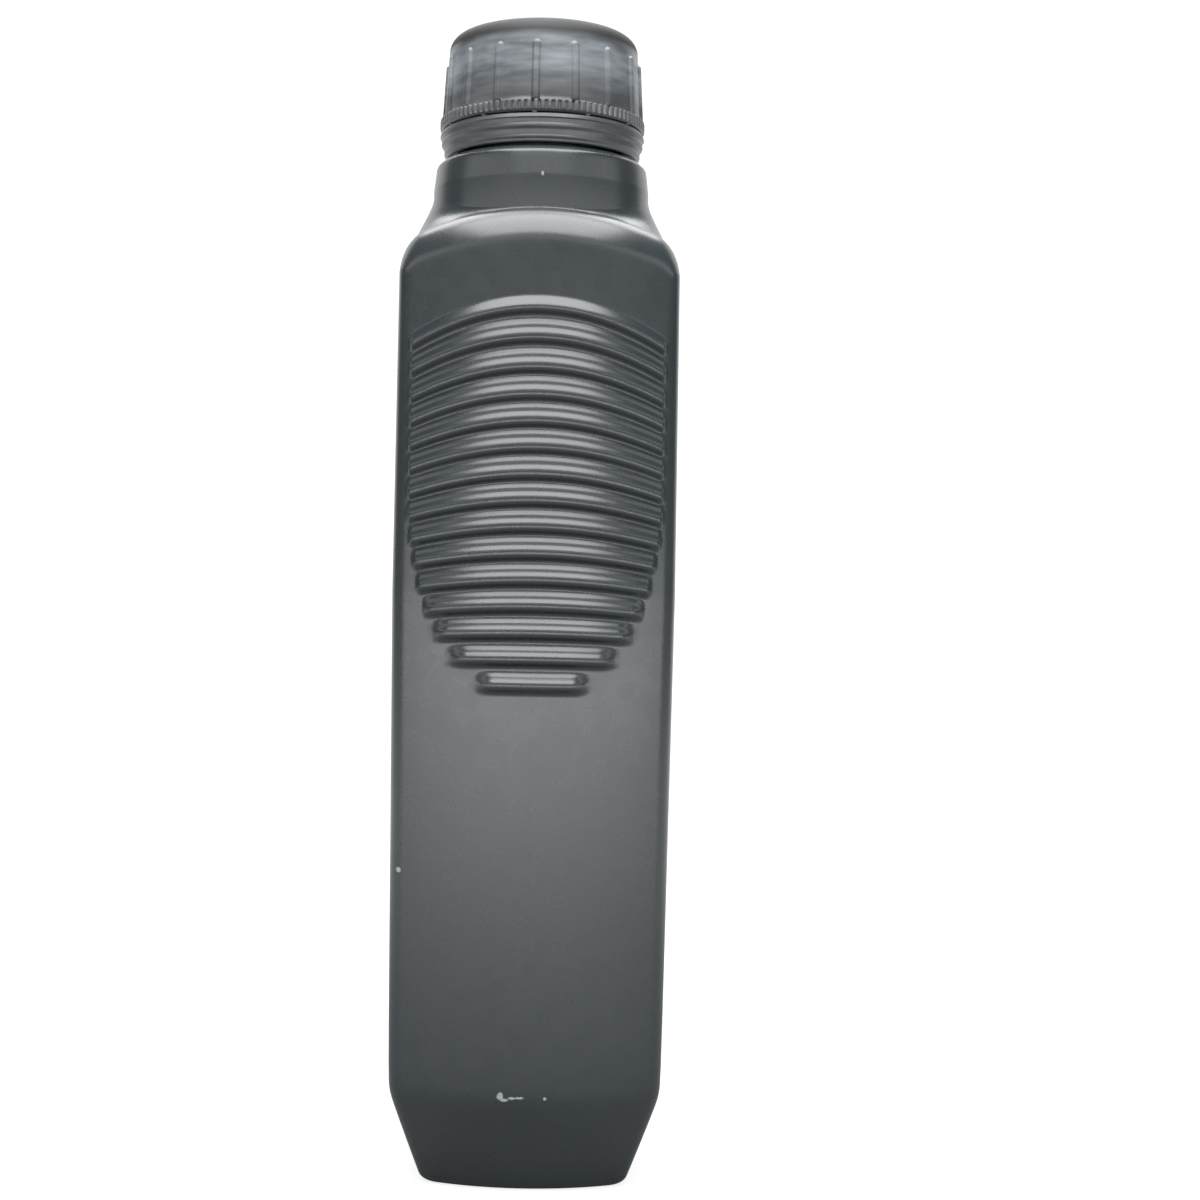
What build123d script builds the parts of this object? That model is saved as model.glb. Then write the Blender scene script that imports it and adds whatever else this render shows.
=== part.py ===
from build123d import *
import os
from math import radians, sqrt, tan

os.makedirs("parts", exist_ok=True)

# The bottle stands on Z = 0. Its narrow sides, with the grip ribs, face -Y and +Y.
overrun = 1.0
seat_gap = 0.3

# Body, one blow-moulded piece of even wall
wall = 1.0
body_width = 104.0
body_thickness = 58.3
narrow_face_radius = 57.7
corner_radius = 5.0
middle_height = 122.4
lower_draft_deg = 0.58
upper_draft_deg = 0.2

# Foot, drawn in below a crease, with a raised middle under it
crease_height = 19.5
crease_band_height = 1.4
crease_band_draft_deg = 10.0
foot_draft_deg = 20.0
foot_edge_radius = 3.0
foot_ring_width = 6.5
push_up_height = 2.4
push_up_draft_deg = 35.0
push_up_corner_radius = 4.0

# Shoulder, a dome arched across X and rounded over at its edge
dome_height = 206.2
dome_radius = 199.0
dome_arch_radius = 58.6
shoulder_round = 4.9

# Collar under the cap: a round band, a slanted top edge, and a foot that widens to an oval
collar_radius = 24.3
collar_edge_radius = 23.7
collar_top_radius = 22.3
collar_lift = 6.5
collar_band_height = 5.2
collar_edge_height = 1.3
collar_land_thickness = 1.5
collar_foot_drops = (1.4, 5.8, 10.5, 15.5, 20.0)
collar_foot_wide_flares = (0, 1.4, 3.5, 4.3, 4.3)
collar_foot_narrow_flares = (0, 0.2, 0.5, 0.7, 0.7)

# Grip ribs, counted from the top one down
rib_count = 15
rib_rise = 1.35
rib_crest_width = 1.0
rib_flank_width = 1.6
rib_sink = 0.4
rib_end_share = 0.93
top_rib_drop = 26.3
rib_pitch = 5.345
top_gap_shares = (1.123, 1.104, 1.03)
rib_end_gap = 2.95
rib_arch_height = 7.6
short_rib_shares = (0.985, 0.953, 0.92, 0.865, 0.783, 0.66, 0.42)

# Neck finish
neck_radius = 18.6
neck_wall = 2.0
neck_height = 25.4
bead_rise = 1.8
bead_lift = 3.2
bead_thickness = 1.5
thread_pitch = 4.2
thread_depth = 1.3
thread_root_width = 2.1
thread_crest_width = 1.0
thread_root_sink = 0.3
thread_drop = 12.8
neck_thread_turns = 1.35

# Tamper-evident ring and the bridges that hold it to the cap
ring_lift = 0.8
ring_height = 5.5
ring_wall = 1.9
ring_bead_gap = 0.9
ring_taper = 1.3
upper_bead_rise = 0.2
lower_bead_rise = 0.3
ring_bead_shares = (0.2, 0.38, 0.62, 0.85)
pawl_gap = 0.75
pawl_height = 1.3
bridge_count = 12
bridge_width = 1.1
bridge_depth = 0.9
bridge_height = 0.9
bridge_turn_deg = -94.5

# Screw cap and the liner under its top
liner_thickness = 1.5
cap_top_thickness = 1.7
cap_wall = 1.7
thread_gap = 0.55
cap_inner_draft = 0.45
skirt_draft = 0.85
cap_edge_radius = 3.6
cap_rib_count = 16
cap_rib_section_radius = 0.95
cap_rib_rise = 0.62
cap_rib_turn_deg = -94.2
cap_rib_top_gap = 5.6
knurl_rise = 0.95
knurl_height = 2.6
knurl_bevel = 0.4
tooth_count = 96
tooth_depth = 0.4
tooth_gap_width = 0.9
cap_thread_turns = 1.1
cap_thread_depth = 1.15

# Places worked out from the sizes above
half_thickness = body_thickness / 2
half_width = body_width / 2
dome_axis_height = dome_height - dome_radius
crease_inset = (middle_height - crease_height) * tan(radians(lower_draft_deg))
foot_inset = (
    crease_inset
    + crease_band_height * tan(radians(crease_band_draft_deg))
    + (crease_height - crease_band_height) * tan(radians(foot_draft_deg))
)
top_rib_height = dome_height - top_rib_drop
rib_half_length = half_thickness - rib_end_gap
rib_end_radius = rib_crest_width / 2 + rib_flank_width
collar_crease_height = dome_height + collar_lift
collar_edge_foot = collar_crease_height + collar_band_height
collar_top_height = collar_edge_foot + collar_edge_height
neck_top_height = collar_top_height + neck_height
neck_bore_radius = neck_radius - neck_wall
bead_radius = neck_radius + bead_rise
bead_foot_height = collar_top_height + bead_lift
thread_start_height = neck_top_height - thread_drop
ring_foot_height = collar_top_height + ring_lift
ring_top_height = ring_foot_height + ring_height
ring_inner_radius = bead_radius + ring_bead_gap
ring_lip_radius = ring_inner_radius + ring_wall
cap_foot_height = ring_top_height + bridge_height
cap_ceiling_height = neck_top_height + liner_thickness
cap_top_height = cap_ceiling_height + cap_top_thickness
cap_inner_foot_radius = neck_radius + thread_depth + thread_gap
cap_inner_top_radius = cap_inner_foot_radius - cap_inner_draft
skirt_foot_radius = cap_inner_foot_radius + cap_wall
skirt_top_radius = skirt_foot_radius - skirt_draft
knurl_radius = skirt_foot_radius + knurl_rise
knurl_top_height = cap_foot_height + knurl_height


def turned(outline):
    """The solid swept by a closed outline in the XZ plane as it turns round the Z axis."""
    return revolve(Plane.XZ * make_face(outline), axis=Axis.Z)


def plan_face(inset, corner):
    """The body's plan: two curved narrow sides, two straight broad ones and round corners."""
    half_x = half_thickness - inset
    half_y = half_width - inset
    radius = narrow_face_radius - inset
    edge_y = half_y - radius + sqrt(radius**2 - half_x**2)
    outline = Curve() + [
        ThreePointArc((-half_x, -edge_y), (0, -half_y), (half_x, -edge_y)),
        Line((half_x, -edge_y), (half_x, edge_y)),
        ThreePointArc((half_x, edge_y), (0, half_y), (-half_x, edge_y)),
        Line((-half_x, edge_y), (-half_x, -edge_y)),
    ]
    face = make_face(outline)
    return fillet(face.vertices(), corner)


def dome(inset):
    """The top of the shoulder: an arch across X, turned about a low axis along X."""
    half_x = half_thickness + overrun
    arch = dome_arch_radius - inset
    top = dome_height - inset
    edge = top - arch + sqrt(arch**2 - half_x**2)
    outline = Curve() + [
        Line((-half_x, dome_axis_height), (half_x, dome_axis_height)),
        Line((half_x, dome_axis_height), (half_x, edge)),
        ThreePointArc((half_x, edge), (0, top), (-half_x, edge)),
        Line((-half_x, edge), (-half_x, dome_axis_height)),
    ]
    axis = Axis((0, 0, dome_axis_height), (1, 0, 0))
    return revolve(Plane.XZ * make_face(outline), axis=axis)


def push_up(inset, rise):
    """The raised middle of the foot, as the solid that it takes out of the bottom."""
    face = plan_face(foot_inset + foot_ring_width + inset, push_up_corner_radius)
    height = push_up_height + rise + overrun
    lost = overrun * tan(radians(push_up_draft_deg))
    start = offset(face, amount=lost)
    return extrude(Plane.XY.offset(-overrun) * start, amount=height, taper=push_up_draft_deg)


def body_form(inset):
    """The body and foot without ribs, drawn in by inset all round."""
    middle = Plane.XY.offset(middle_height) * plan_face(inset, corner_radius - inset)
    upper = extrude(middle, amount=dome_height - middle_height, taper=upper_draft_deg)
    upper = upper & dome(inset)
    crown = upper.faces().filter_by(GeomType.TORUS).sort_by(SortBy.AREA)[-1]
    upper = fillet(crown.edges(), shoulder_round - inset)
    lower = extrude(middle, amount=crease_height - middle_height, taper=lower_draft_deg)
    crease = lower.faces().sort_by(Axis.Z)[0]
    band = extrude(crease, amount=crease_band_height, taper=crease_band_draft_deg)
    waist = band.faces().sort_by(Axis.Z)[0]
    foot_height = crease_height - crease_band_height - inset
    foot = extrude(waist, amount=foot_height, taper=foot_draft_deg)
    sole = foot.faces().sort_by(Axis.Z)[0]
    foot = fillet(sole.edges(), foot_edge_radius - inset)
    return upper + lower + band + foot


def rib_heights():
    """The height of each grip rib at its middle, the top gaps being a little wider."""
    heights = [top_rib_height]
    for gap in range(rib_count - 1):
        share = top_gap_shares[gap] if gap < len(top_gap_shares) else 1
        heights.append(heights[-1] - share * rib_pitch)
    return heights


def rib_half_lengths():
    """Half the length of each grip rib: the lowest ones shorten step by step."""
    shares = [1] * (rib_count - len(short_rib_shares)) + list(short_rib_shares)
    return [share * rib_half_length for share in shares]


def face_point(x, height, inset):
    """A point on the curved narrow face at -Y, drawn in by inset."""
    draft = upper_draft_deg if height > middle_height else lower_draft_deg
    lost = abs(height - middle_height) * tan(radians(draft)) + inset
    radius = narrow_face_radius - inset
    return Vector(x, -(half_width - lost - radius + sqrt(radius**2 - x**2)), height)


def rib_profile(inset):
    """Half of a rib's section, as distances along the face and out of it, from the middle of its crest."""
    flank_slope = rib_rise / rib_flank_width
    flank_length = sqrt(rib_rise**2 + rib_flank_width**2)
    half_crest = rib_crest_width / 2 - inset * (flank_length - rib_flank_width) / rib_rise
    half_root = half_crest + rib_flank_width + rib_sink / flank_slope
    return [(0, rib_rise), (half_crest, rib_rise), (half_root, -rib_sink), (0, -rib_sink)]


def grip_rib(height, half_length, arch, inset):
    """The parts of one rib: a ridge with sloped flanks, arched along the face, and its round ends.

    Drawn in by inset, as the hollow inside has it, a rib is the ridge alone.
    """
    end_x = half_length - rib_end_radius
    drop = arch * (end_x / rib_half_length) ** 2
    left = face_point(-end_x, height - drop, inset)
    middle = face_point(0, height, inset)
    right = face_point(end_x, height - drop, inset)
    path = ThreePointArc(left, middle, right)
    turn_axis = Axis((0, 0, 0), (middle - left).cross(right - middle))
    out_left = Vector(0, -1, 0).rotate(turn_axis, -(path % 0).get_angle(path % 0.5))
    out_right = Vector(-out_left.X, out_left.Y, out_left.Z)
    half = rib_profile(inset)
    section = make_face(Polyline(
        *[(out, -along) for along, out in half[1:3]],
        *[(out, along) for along, out in reversed(half[1:3])],
        close=True,
    ))
    ridge = sweep(Plane(origin=left, x_dir=out_left, z_dir=path % 0) * section, path=path)
    if inset > 0:
        return [ridge]
    end_half = [(along * rib_end_share, out * rib_end_share) for along, out in half]
    round_end = revolve(make_face(Polyline(*end_half, close=True)), axis=Axis.Y)
    ends = [
        Plane(origin=end, x_dir=(0, 0, 1), z_dir=outward) * Rot(90, 0, 0) * round_end
        for end, outward in ((left, out_left), (right, out_right))
    ]
    return [ridge, *ends]


def grip_ribs(inset):
    """The ribs of both narrow sides."""
    solids = []
    for index, (height, half_length) in enumerate(zip(rib_heights(), rib_half_lengths())):
        arch = rib_arch_height * (1 - index / (rib_count - 1))
        rib = grip_rib(height, half_length, arch, inset)
        solids += rib
        solids += [Rot(0, 0, 180) * solid for solid in rib]
    return solids


def collar_foot(inset):
    """The foot of the collar, from a circle at its top to ovals that are wider towards the broad sides."""
    sections = []
    for drop, wide, narrow in zip(collar_foot_drops, collar_foot_wide_flares, collar_foot_narrow_flares):
        plane = Plane.XY.offset(collar_crease_height - drop)
        radius = collar_radius - inset
        sections.append(plane * Ellipse(radius + wide, radius + narrow))
    return loft(sections)


def neck_outside():
    """Collar, ring-retaining bead and neck, as one turned solid with no bore."""
    bead_top = bead_foot_height + bead_thickness
    outline = Polyline(
        (0, collar_crease_height - collar_foot_drops[0]),
        (0, neck_top_height),
        (neck_radius, neck_top_height),
        (neck_radius, bead_top + bead_rise),
        (bead_radius, bead_top),
        (bead_radius, bead_foot_height),
        (neck_radius, bead_foot_height),
        (neck_radius, collar_top_height),
        (collar_top_radius, collar_top_height),
        (collar_edge_radius, collar_edge_foot),
        (collar_radius, collar_crease_height),
        (collar_radius, collar_crease_height - collar_foot_drops[0]),
        close=True,
    )
    return turned(outline)


def neck_inside():
    """The way in: the bore, and the hollow of the collar below it."""
    inner_top = collar_top_height - collar_land_thickness
    outline = Polyline(
        (0, collar_crease_height - collar_foot_drops[0]),
        (collar_radius - wall, collar_crease_height - collar_foot_drops[0]),
        (collar_radius - wall, collar_crease_height),
        (collar_edge_radius - wall, inner_top),
        (neck_bore_radius, inner_top),
        (neck_bore_radius, neck_top_height + overrun),
        (0, neck_top_height + overrun),
        close=True,
    )
    return turned(outline)


def thread(radius, depth, turns, start_height):
    """A thread of one start on radius, standing out by depth, or in where depth is negative."""
    sink = -thread_root_sink if depth > 0 else thread_root_sink
    path = Helix(thread_pitch, thread_pitch * turns, radius)
    section = Plane(origin=path @ 0, x_dir=(1, 0, 0), z_dir=path % 0) * make_face(
        Polyline(
            (sink, -thread_root_width / 2),
            (depth, -thread_crest_width / 2),
            (depth, thread_crest_width / 2),
            (sink, thread_root_width / 2),
            close=True,
        )
    )
    return Pos(0, 0, start_height) * sweep(section, path=path, is_frenet=True)


def bottle():
    """The blow-moulded bottle: the outer form less the same form drawn in by the wall."""
    hollow = body_form(wall) - push_up(-wall, wall)
    hollow = hollow + grip_ribs(wall) + collar_foot(wall) + neck_inside()
    solid = body_form(0) - push_up(0, 0)
    solid = solid + grip_ribs(0) + collar_foot(0) + neck_outside()
    neck_thread = thread(neck_radius, thread_depth, neck_thread_turns, thread_start_height)
    return solid - hollow + neck_thread


def cap_rib():
    """One finger rib of the skirt: a half-sunk bar along the skirt's slope, with a round top."""
    sink = cap_rib_section_radius - cap_rib_rise
    slope = -skirt_draft / (cap_top_height - cap_edge_radius - knurl_top_height)
    end_height = cap_top_height - cap_rib_top_gap - cap_rib_section_radius
    foot_x = skirt_foot_radius - sink
    end_x = foot_x + slope * (end_height - knurl_top_height)
    path = Line((foot_x, 0, knurl_top_height), (end_x, 0, end_height))
    bar = sweep(Plane(path ^ 0) * Circle(cap_rib_section_radius), path=path)
    return bar + Pos(end_x, 0, end_height) * Sphere(cap_rib_section_radius)


def tooth_gap():
    """The notch between two teeth of the band round the cap's foot, as the solid that it takes out."""
    outline = Polyline(
        (knurl_radius - tooth_depth, 0),
        (knurl_radius + tooth_depth, -tooth_gap_width),
        (knurl_radius + tooth_depth, tooth_gap_width),
        close=True,
    )
    return Pos(0, 0, cap_foot_height + knurl_bevel) * extrude(make_face(outline), amount=knurl_height)


def screw_cap():
    """The cap: a drafted cup with a toothed band at its foot, finger ribs and an inner thread."""
    edge_height = cap_top_height - cap_edge_radius
    edge = JernArc((skirt_top_radius, edge_height), (0, 1), cap_edge_radius, 90)
    outline = edge + Polyline(
        edge @ 1,
        (0, cap_top_height),
        (0, cap_ceiling_height),
        (cap_inner_top_radius, cap_ceiling_height),
        (cap_inner_foot_radius, cap_foot_height),
        (knurl_radius - knurl_bevel, cap_foot_height),
        (knurl_radius, cap_foot_height + knurl_bevel),
        (knurl_radius, knurl_top_height - knurl_bevel),
        (skirt_foot_radius, knurl_top_height),
        (skirt_top_radius, edge_height),
    )
    gaps = PolarLocations(0, tooth_count) * tooth_gap()
    ribs = PolarLocations(0, cap_rib_count, cap_rib_turn_deg) * cap_rib()
    start_height = thread_start_height - thread_pitch / 2
    cap_thread = thread(cap_inner_foot_radius, -cap_thread_depth, cap_thread_turns, start_height)
    return turned(outline) - gaps + ribs + cap_thread


def cap_liner():
    """The sealing disc, between the neck's land and the cap's ceiling."""
    face = Plane.XY.offset(neck_top_height) * Circle(cap_inner_top_radius - seat_gap)
    return extrude(face, amount=liner_thickness)


def tamper_ring():
    """The ring: two outer beads, pawls under the neck's bead, and bridges up to the cap."""
    pawl_top = bead_foot_height - seat_gap
    pawl_radius = neck_radius + pawl_gap
    rises = (lower_bead_rise, 0, upper_bead_rise, 0)
    beads = []
    for share, rise in zip(ring_bead_shares, rises):
        radius = ring_lip_radius - ring_taper * (1 - share) + rise
        beads.append((radius, ring_foot_height + share * ring_height))
    outline = Polyline(
        (ring_lip_radius - ring_taper, ring_foot_height),
        *beads,
        (ring_lip_radius, ring_top_height - seat_gap),
        (ring_lip_radius - seat_gap, ring_top_height),
        (ring_inner_radius, ring_top_height),
        (ring_inner_radius, pawl_top),
        (pawl_radius, pawl_top),
        (pawl_radius, pawl_top - pawl_height),
        close=True,
    )
    middle_radius = ring_lip_radius - 2 * seat_gap - bridge_depth / 2
    bridge = Pos(middle_radius, 0, ring_top_height + bridge_height / 2) * Box(
        bridge_depth, bridge_width, bridge_height
    )
    bridges = PolarLocations(0, bridge_count, bridge_turn_deg) * bridge
    return turned(outline) + bridges


export_step(bottle(), "parts/bottle.step")
export_step(screw_cap(), "parts/screw_cap.step")
export_step(cap_liner(), "parts/cap_liner.step")
export_step(tamper_ring(), "parts/tamper_ring.step")
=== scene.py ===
import math
import bpy
import numpy as np
from mathutils import Matrix, Vector


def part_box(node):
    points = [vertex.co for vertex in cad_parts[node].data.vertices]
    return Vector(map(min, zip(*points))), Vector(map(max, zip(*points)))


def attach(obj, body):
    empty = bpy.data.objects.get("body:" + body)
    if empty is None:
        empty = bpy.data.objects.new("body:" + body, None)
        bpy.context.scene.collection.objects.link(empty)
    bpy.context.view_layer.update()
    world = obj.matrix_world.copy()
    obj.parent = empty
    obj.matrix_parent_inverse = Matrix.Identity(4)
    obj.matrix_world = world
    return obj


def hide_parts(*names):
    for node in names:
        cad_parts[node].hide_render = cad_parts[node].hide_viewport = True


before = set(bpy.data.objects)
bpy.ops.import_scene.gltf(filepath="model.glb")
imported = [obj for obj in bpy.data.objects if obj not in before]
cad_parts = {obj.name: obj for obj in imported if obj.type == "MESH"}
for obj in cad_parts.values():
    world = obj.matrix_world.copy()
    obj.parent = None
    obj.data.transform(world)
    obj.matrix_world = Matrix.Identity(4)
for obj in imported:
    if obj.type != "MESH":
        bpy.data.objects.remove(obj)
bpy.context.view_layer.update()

# Bottle. One blow-moulded piece of grey HDPE, with the mould's parting line down both narrow sides, a
# drawn-in foot, grip ribs pressed out of the narrow sides, and a neck finish with its thread, bead and
# sealing land.
MM = 0.001
wall = 1.0
half_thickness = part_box("bottle")[1][0] / MM
rib_rise = 1.25
rib_clearance = 0.1
half_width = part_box("bottle")[1][1] / MM - rib_rise - rib_clearance
narrow_face_radius = 57.7
least_narrow_side_normal = 0.5
corner_radius = 5.0
smallest_corner_radius = 1.5
middle_height = 122.4
lower_draft = math.tan(math.radians(0.58))
upper_draft = math.tan(math.radians(0.2))
crease_height = 19.5
crease_softness = 0.35
foot_draft = math.tan(math.radians(20.0))
foot_corner_radius = 3.2
foot_edge_radius = 3.0
foot_edge_turn = 70.0
foot_edge_gap = 0.5
foot_ring_width = 6.5
foot_ring_chamfer_width = 0.7
foot_ring_chamfer_height = 0.12
push_up_height = 2.4
push_up_slope_width = 1.7
dome_height = 206.2
dome_radius = 199.0
dome_arch_radius = 58.6
narrow_edge_round = 6.1
broad_edge_round = 5.0
dome_end_drop = 7.0
wall_top_height = dome_height - dome_end_drop - narrow_edge_round
collar_radius = 24.3
collar_crease_height = 212.7
flare_top_height = collar_crease_height - 0.8
collar_edge_radius = 23.7
collar_edge_height = 217.9
collar_top_radius = 22.3
collar_top_height = 219.2
collar_roof_thickness = 1.5
side_flare_height = 10.5
side_flare_width = 24.0
front_flare_height = 0.9
front_flare_width = 0.7
rib_count = 15
rib_crest_half_width = 0.35
rib_lower_flank_width = 1.5
rib_upper_flank_width = 3.55
rib_ledge_share = 0.75
rib_ledge_fade = 1.5
upper_flank_waves = 2
pill_upper_flank_width = 2.4
top_rib_upper_flank_width = 1.9
first_pill_rib = 7
long_rib_end_width = 0.9
top_rib_height = 179.9
rib_pitch = 5.345
top_gap_shares = [1.123, 1.104, 1.03]
rib_half_length = 26.2
rib_end_radius = 2.1
top_rib_drop = 7.6
run_in_rise = 2.0
short_rib_shares = [0.985, 0.953, 0.92, 0.86, 0.76, 0.63, 0.42]
parting_line_rise = 0.06
parting_line_half_width = 0.28
neck_radius = 18.6
neck_bore_radius = 16.6
neck_top_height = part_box("bottle")[1][2] / MM
neck_rim_chamfer = 0.5
bead_radius = 20.4
bead_foot_height = 222.4
bead_thickness = 1.5
bead_slope_height = 1.8
thread_pitch = 4.2
thread_depth = 1.3
thread_root_width = 2.1
thread_crest_width = 1.0
thread_start_height = 231.8
neck_thread_turns = 1.35
thread_end_turns = 0.04
thread_rows_foot = thread_start_height - 1.9
thread_rows_top = thread_start_height + 7.5
thread_row_spacing = 0.3
neck_row_gap = 0.1
neck_corner_round = 0.5
outer_row_spacing = 1.2
inner_row_spacing = 4.0


def smooth_larger(a, b, softness):
    """The larger of a and b, rounded over where they cross: their mean plus the root of half their
    difference squared and the softness squared."""
    return (a + b) / 2 + np.sqrt((a - b) ** 2 / 4 + softness**2)


def smooth_step(t):
    """0 below 0, 1 above 1, and 3 t squared less 2 t cubed between."""
    t = np.clip(t, 0, 1)
    return t * t * (3 - 2 * t)


def round_over(radius, depth):
    """How far an edge rounded by a radius lies below its flat, at a depth in from the edge's outer face:
    the radius less the root of its square less the square of what is left of it beyond that depth."""
    left = np.clip(radius - depth, 0, radius)
    return radius - np.sqrt(radius**2 - left**2)


def plan_columns():
    """Where the columns of the skin stand round the plan, for one quarter and then all four: the quarter
    runs from 0 at the middle of a narrow side, through 1 and 2 at the two ends of the corner, to 3 at the
    middle of a broad side. The columns are closest beside the parting line and at the ends of the
    ribs."""
    beside_parting_line = [0.0, 0.006, 0.012, 0.02]
    face = np.concatenate([beside_parting_line, np.linspace(0.035, 0.82, 17), np.linspace(0.84, 0.985, 11)])
    quarter = np.concatenate([face, np.linspace(1, 2, 9)[:-1], np.linspace(2, 3, 13)])
    back = quarter[::-1]
    places = np.concatenate([quarter[:-1], back[:-1], quarter[:-1], back[:-1]])
    count = len(quarter) - 1
    x_sign = np.repeat([1.0, 1.0, -1.0, -1.0], count)
    y_sign = np.repeat([-1.0, 1.0, 1.0, -1.0], count)
    return places, x_sign, y_sign


def plan_outline(inset, corner):
    """The plan's outline and its outward normals, for a column of insets. Its narrow side is an arc about
    a centre on the Y axis, its corner an arc that touches both neighbours, and its broad side a straight
    line."""
    places, x_sign, y_sign = plan_columns()
    radius = narrow_face_radius - inset
    corner_x = half_thickness - inset - corner
    centre_y = half_width - narrow_face_radius
    turn = np.arcsin(corner_x / (radius - corner))
    corner_y = centre_y + (radius - corner) * np.cos(turn)
    angle = np.where(
        places < 1, places * turn, turn + np.clip(places - 1, 0, 1) * (math.pi / 2 - turn)
    )
    arc_x = np.where(places < 1, radius * np.sin(angle), corner_x + corner * np.sin(angle))
    arc_y = np.where(places < 1, centre_y + radius * np.cos(angle), corner_y + corner * np.cos(angle))
    y = np.where(places <= 2, arc_y, corner_y * (3 - places))
    return arc_x * x_sign, y * y_sign, np.sin(angle) * x_sign, np.cos(angle) * y_sign


def wall_inset(height):
    """How far the wall has drawn in at a height: a small draft each way from the middle, and the foot's
    larger one, the two rounded into each other at the crease."""
    upper = np.maximum(height - middle_height, 0) * upper_draft
    lower = np.maximum(middle_height - height, 0) * lower_draft
    crease_inset = (middle_height - crease_height) * lower_draft
    foot = crease_inset + (crease_height - height) * foot_draft
    return upper + smooth_larger(lower, foot, crease_softness)


def wall_corner(height):
    """The corner's radius at a height: full above the crease, smaller down the foot."""
    return foot_corner_radius + (corner_radius - foot_corner_radius) * smooth_step(height / crease_height)


def shoulder_height(x, y, inset):
    """The height of the shoulder over a point: a dome, arched across X and turned about a low axis along
    X, less the rounding of the narrow and the broad sides' edges, plus the flare that climbs to the
    collar. The flare is a concave quarter of an ellipse, high and wide towards the broad sides, low and
    narrow towards the others."""
    axis_height = dome_height - dome_radius
    arch_radius = dome_arch_radius - inset
    arch = dome_height - inset - arch_radius + np.sqrt(arch_radius**2 - x**2)
    dome = axis_height + np.sqrt((arch - axis_height) ** 2 - y**2)
    top_inset = wall_inset(np.float64(wall_top_height)) + inset
    side_depth = half_thickness - top_inset - np.abs(x)
    centre_y = half_width - narrow_face_radius
    end_depth = narrow_face_radius - top_inset - np.hypot(x, np.abs(y) - centre_y)
    broad_edge = round_over(broad_edge_round - inset, side_depth)
    narrow_edge = round_over(narrow_edge_round - inset, end_depth)
    from_axis = np.hypot(x, y)
    side_share = np.abs(x / from_axis) ** 3
    flare_height = front_flare_height + (side_flare_height - front_flare_height) * side_share
    flare_width = front_flare_width + (side_flare_width - front_flare_width) * side_share
    left = np.clip(1 - np.clip(from_axis - collar_radius + inset, 0, None) / flare_width, 0, 1)
    return dome - (broad_edge + narrow_edge) + flare_height * (1 - np.sqrt(1 - left**2))


def rib_middles():
    """The height of each rib at the middle of the narrow side, from the top one down."""
    gaps = np.ones(rib_count - 1)
    gaps[: len(top_gap_shares)] = top_gap_shares
    return top_rib_height - rib_pitch * np.concatenate([[0], np.cumsum(gaps)])


def rib_relief(x, height):
    """How far the grip ribs stand out of a narrow side. Each rib is a ridge along an arched line, with a
    short flank below that falls off smoothly and a long one above that falls in two waves, with a ledge
    between them; the top rib's is short and straight. The long ribs end straight at the corner, the short
    ones at the foot are rounded off, and the highest ridge counts."""
    middles = rib_middles()
    lengths = np.ones(rib_count)
    lengths[rib_count - len(short_rib_shares):] = short_rib_shares
    relief = np.zeros_like(height)
    wave = 2 * math.pi * upper_flank_waves
    for index in range(rib_count):
        pill_share = np.clip((index - first_pill_rib + 1) / (rib_count - first_pill_rib), 0, 1)
        end_reach = rib_end_radius * pill_share + long_rib_end_width * (1 - pill_share)
        end_x = lengths[index] * rib_half_length - end_reach
        drop = top_rib_drop * (1 - index / (rib_count - 1))
        line = middles[index] - drop * (np.minimum(np.abs(x), end_x) / rib_half_length) ** 2
        upper_width = rib_upper_flank_width + (pill_upper_flank_width - rib_upper_flank_width) * pill_share
        ledge_share = rib_ledge_share
        if index == 0:
            upper_width, ledge_share = top_rib_upper_flank_width, 0.0
        end_width = end_reach - rib_crest_half_width * pill_share
        away = np.maximum(np.abs(height - line) - rib_crest_half_width, 0)
        beyond = np.maximum(np.abs(x) - end_x, 0) / end_width
        above = np.clip(np.hypot(away / upper_width, beyond), 0, 1)
        ledge = ledge_share * (1 - np.clip(rib_ledge_fade * beyond, 0, 1))
        waves = 1 - above + ledge * np.sin(wave * above) / wave
        below = 1 - smooth_step(np.hypot(away / rib_lower_flank_width, beyond))
        relief = np.maximum(relief, np.where(height > line, waves, below))
    return rib_rise * relief


def parting_relief(x):
    """The fine ridge that the mould's halves leave down the middle of each narrow side."""
    return parting_line_rise * np.exp(-((x / parting_line_half_width) ** 2))


def foot_rings(inset):
    """The underside, from its middle out: the raised middle, its slope, the flat ring and the edge,
    rounded by an arc that ends where it meets the foot's draft."""
    edge_inset = wall_inset(np.float64(0)) + inset
    round_radius = foot_edge_radius - inset
    angle = np.radians(np.linspace(0, foot_edge_turn - 2, 9))[:, None]
    lift = round_radius * (1 - np.cos(angle))
    inward = round_radius * (math.tan(math.radians(foot_edge_turn / 2)) - np.sin(angle))
    ring_inset = edge_inset + np.concatenate([
        [[foot_ring_width + push_up_slope_width], [foot_ring_width],
         [foot_ring_width - foot_ring_chamfer_width], [foot_edge_radius + foot_edge_gap]],
        inward,
    ])
    flat_height = [[push_up_height], [foot_ring_chamfer_height], [0.0], [0.0]]
    ring_height = np.concatenate([flat_height, lift]) + inset
    x, y, _, _ = plan_outline(ring_inset, foot_corner_radius * np.ones_like(ring_inset))
    shares = np.linspace(0.12, 0.97, 6)[:, None]
    middle = np.stack([x[0] * shares, y[0] * shares, (push_up_height + inset) + 0 * x[0] * shares], -1)
    rest = np.stack([x, y, ring_height + 0 * x], -1)
    return np.concatenate([middle, rest])


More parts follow.
